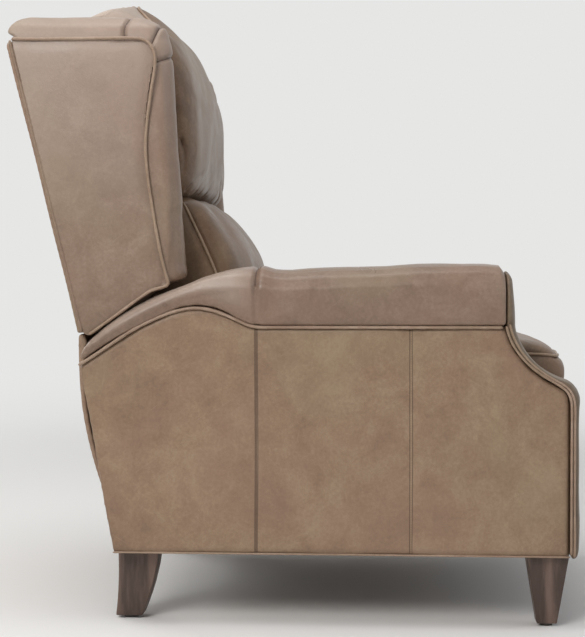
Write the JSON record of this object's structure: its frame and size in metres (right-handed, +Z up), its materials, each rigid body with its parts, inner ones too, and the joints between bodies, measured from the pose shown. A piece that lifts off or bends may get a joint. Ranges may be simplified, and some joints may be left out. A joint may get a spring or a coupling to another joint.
{
  "type": "pushback recliner",
  "caption": "High-leg wing-back pushback recliner in leather: leaning back tilts the seat, reclines the winged back and unfolds the footrest.",
  "frame": {"origin": "on the floor, below the middle of the chair's overall box, chair upright with the footrest folded", "axes": "+Z up, -Y the way the chair faces, +X to the sitter's left"},
  "size_m": [0.796, 0.9771, 1.112],
  "materials": {
    "leather": "soft waxed aniline",
    "leg_wood": "satin stain",
    "frame_wood": "raw",
    "mechanism_steel": "satin black",
    "spring_wire": "oiled",
    "deck_cloth": "woven",
    "glide": "matt"
  },
  "bodies": {
    "base": {"arm_facing_left": "leather", "arm_facing_right": "leather", "arm_frame_left": "frame_wood", "arm_frame_right": "frame_wood", "arm_roll_left": "leather", "arm_roll_right": "leather", "base_bracket_left": "mechanism_steel", "base_bracket_right": "mechanism_steel", "front_cross_rail": "frame_wood", "front_glide_left": "glide", "front_glide_right": "glide", "front_leg_left": "leg_wood", "front_leg_right": "leg_wood", "inner_arm_panel_left": "leather", "inner_arm_panel_right": "leather", "rear_cross_rail": "frame_wood", "rear_glide_left": "glide", "rear_glide_right": "glide", "rear_leg_left": "leg_wood", "rear_leg_right": "leg_wood", "side_panel_left": "leather", "side_panel_right": "leather"},
    "seat": {"seat_cushion": "leather", "seat_deck": "deck_cloth", "seat_springs": "spring_wire", "seat_front_rail": "frame_wood", "seat_rear_rail": "frame_wood", "seat_side_rail_left": "frame_wood", "seat_side_rail_right": "frame_wood", "seat_plate_left": "mechanism_steel", "seat_plate_right": "mechanism_steel"},
    "back": {"back_post_left": "frame_wood", "back_post_right": "frame_wood", "back_bottom_rail": "frame_wood", "back_middle_rail": "frame_wood", "back_top_rail": "frame_wood", "back_webbing": "deck_cloth", "back_bracket_left": "mechanism_steel", "back_bracket_right": "mechanism_steel", "outside_back_panel": "leather", "back_skirt": "leather", "wing_panel_left": "leather", "wing_panel_right": "leather", "wing_pad_left": "leather", "wing_pad_right": "leather", "crest_pad": "leather", "headrest_pillow": "leather", "lumbar_pillow": "leather"},
    "footrest_arms": {"footrest_arm_left": "mechanism_steel", "footrest_arm_right": "mechanism_steel", "footrest_torque_tube": "mechanism_steel"},
    "footrest_links": {"footrest_link_left": "mechanism_steel", "footrest_link_right": "mechanism_steel"},
    "drive_links": {"drive_link_left": "mechanism_steel", "drive_link_right": "mechanism_steel"},
    "footrest": {"footrest_board": "frame_wood", "footrest_pad": "leather", "footrest_bracket_left": "mechanism_steel", "footrest_bracket_right": "mechanism_steel"}
  },
  "joints": [
    {"name": "seat_tilt", "type": "hinge", "parent": "base", "child": "seat", "pos_m": [0, 0.06, 0.215], "axis": [-1, 0, 0], "range_deg": [0, 10], "stiffness_Nm_per_rad": 760, "springref_deg": -5.66},
    {"name": "back_recline", "type": "hinge", "parent": "seat", "child": "back", "pos_m": [0, 0.215, 0.33], "axis": [-1, 0, 0], "range_deg": [0, 18.01]},
    {"name": "footrest_arm_swing", "type": "hinge", "parent": "seat", "child": "footrest_arms", "pos_m": [0, -0.396, 0.322], "axis": [-1, 0, 0], "range_deg": [0, 62.01]},
    {"name": "footrest_link_swing", "type": "hinge", "parent": "footrest_arms", "child": "footrest_links", "pos_m": [0, -0.37284, 0.13342], "axis": [-1, 0, 0], "range_deg": [-124.02, 0]},
    {"name": "footrest_board_turn", "type": "hinge", "parent": "footrest_links", "child": "footrest", "pos_m": [0, -0.4284, 0.31511], "axis": [-1, 0, 0], "range_deg": [0, 144.02]},
    {"name": "drive_link_swing", "type": "hinge", "parent": "footrest_arms", "child": "drive_links", "pos_m": [0, -0.43539, 0.31505], "axis": [-1, 0, 0], "range_deg": [-41.83, 0]}
  ],
  "couplings": [
    {"joint": "back_recline", "follows": "seat_tilt", "ratio": 1.8},
    {"joint": "footrest_arm_swing", "follows": "seat_tilt", "ratio": 6.2},
    {"joint": "footrest_link_swing", "follows": "seat_tilt", "ratio": -12.4},
    {"joint": "footrest_board_turn", "follows": "seat_tilt", "ratio": 14.4},
    {"joint": "drive_link_swing", "follows": "seat_tilt", "ratio": -4.1811}
  ]
}
